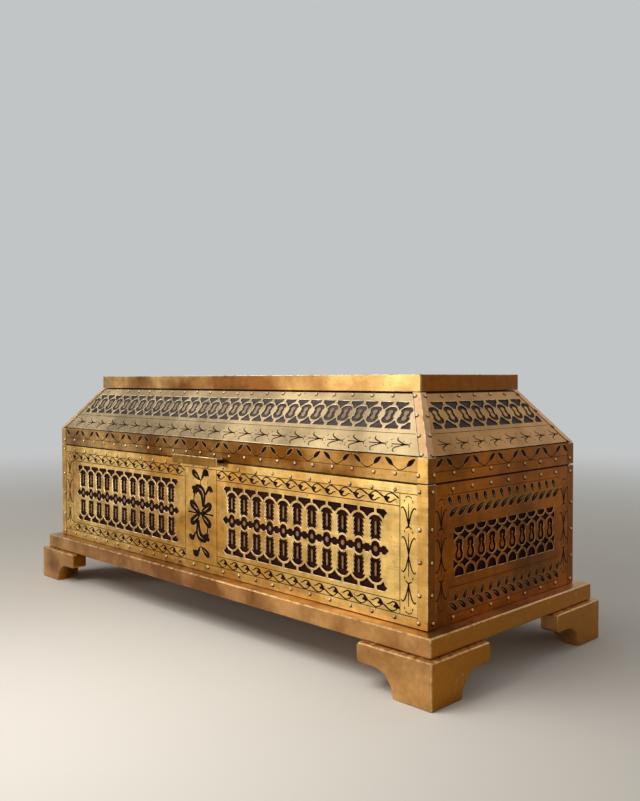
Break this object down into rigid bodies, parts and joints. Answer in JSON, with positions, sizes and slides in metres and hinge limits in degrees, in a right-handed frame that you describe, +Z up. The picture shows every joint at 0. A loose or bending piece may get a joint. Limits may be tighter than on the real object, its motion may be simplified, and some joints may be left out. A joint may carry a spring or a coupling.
{
  "type": "brass-clad casket",
  "caption": "Rectangular casket clad in pierced and engraved brass, with a hinged hipped lid, lift lip, plinth and bracket feet.",
  "frame": {"origin": "on the floor under the middle of the casket", "axes": "+Z up, +X along the front to the right, front face towards -Y"},
  "size_m": [0.4034, 0.1684, 0.1642],
  "materials": {
    "aged_brass": "aged satin brass, engraved",
    "pale_brass": "pale worn brass, engraved",
    "bronzed_wood": "bronze-painted wood with worn edges",
    "ebonised_wood": "dark stained wood",
    "hinge_brass": "dull drawn brass"
  },
  "bodies": {
    "body": {"front_wall": "ebonised_wood", "right_wall": "ebonised_wood", "back_wall": "ebonised_wood", "left_wall": "ebonised_wood", "floor_board": "ebonised_wood", "plinth_board": "bronzed_wood", "foot_front_left_long": "bronzed_wood", "foot_front_left_end": "bronzed_wood", "foot_front_right_long": "bronzed_wood", "foot_front_right_end": "bronzed_wood", "foot_back_left_long": "bronzed_wood", "foot_back_left_end": "bronzed_wood", "foot_back_right_long": "bronzed_wood", "foot_back_right_end": "bronzed_wood", "front_sheet": "aged_brass", "right_sheet": "aged_brass", "back_sheet": "aged_brass", "left_sheet": "aged_brass", "corner_angle_front_left": "aged_brass", "corner_angle_front_right": "aged_brass", "corner_angle_back_left": "aged_brass", "corner_angle_back_right": "aged_brass", "hinge_left_body_leaf": "hinge_brass", "hinge_right_body_leaf": "hinge_brass", "hinge_left_pin": "hinge_brass", "hinge_right_pin": "hinge_brass"},
    "lid": {"lid_rim_front": "ebonised_wood", "lid_rim_right": "ebonised_wood", "lid_rim_back": "ebonised_wood", "lid_rim_left": "ebonised_wood", "lid_slope_front": "ebonised_wood", "lid_slope_right": "ebonised_wood", "lid_slope_back": "ebonised_wood", "lid_slope_left": "ebonised_wood", "lid_top_board": "ebonised_wood", "lid_rim_band_front": "pale_brass", "lid_rim_band_right": "pale_brass", "lid_rim_band_back": "pale_brass", "lid_rim_band_left": "pale_brass", "lid_slope_sheet_front": "pale_brass", "lid_slope_sheet_right": "pale_brass", "lid_slope_sheet_back": "pale_brass", "lid_slope_sheet_left": "pale_brass", "lid_corner_angle_front_left": "pale_brass", "lid_corner_angle_front_right": "pale_brass", "lid_corner_angle_back_left": "pale_brass", "lid_corner_angle_back_right": "pale_brass", "lid_hip_strip_front_left": "pale_brass", "lid_hip_strip_front_right": "pale_brass", "lid_hip_strip_back_left": "pale_brass", "lid_hip_strip_back_right": "pale_brass", "lid_edging_front": "pale_brass", "lid_edging_right": "pale_brass", "lid_edging_back": "pale_brass", "lid_edging_left": "pale_brass", "lid_top_sheet": "pale_brass", "lid_lift": "aged_brass", "hinge_left_lid_leaf": "hinge_brass", "hinge_right_lid_leaf": "hinge_brass"}
  },
  "joints": [
    {"name": "lid_hinge", "type": "hinge", "parent": "body", "child": "lid", "pos_m": [0, 0.074, 0.10875], "axis": [-1, 0, 0], "range_deg": [0, 100]}
  ]
}
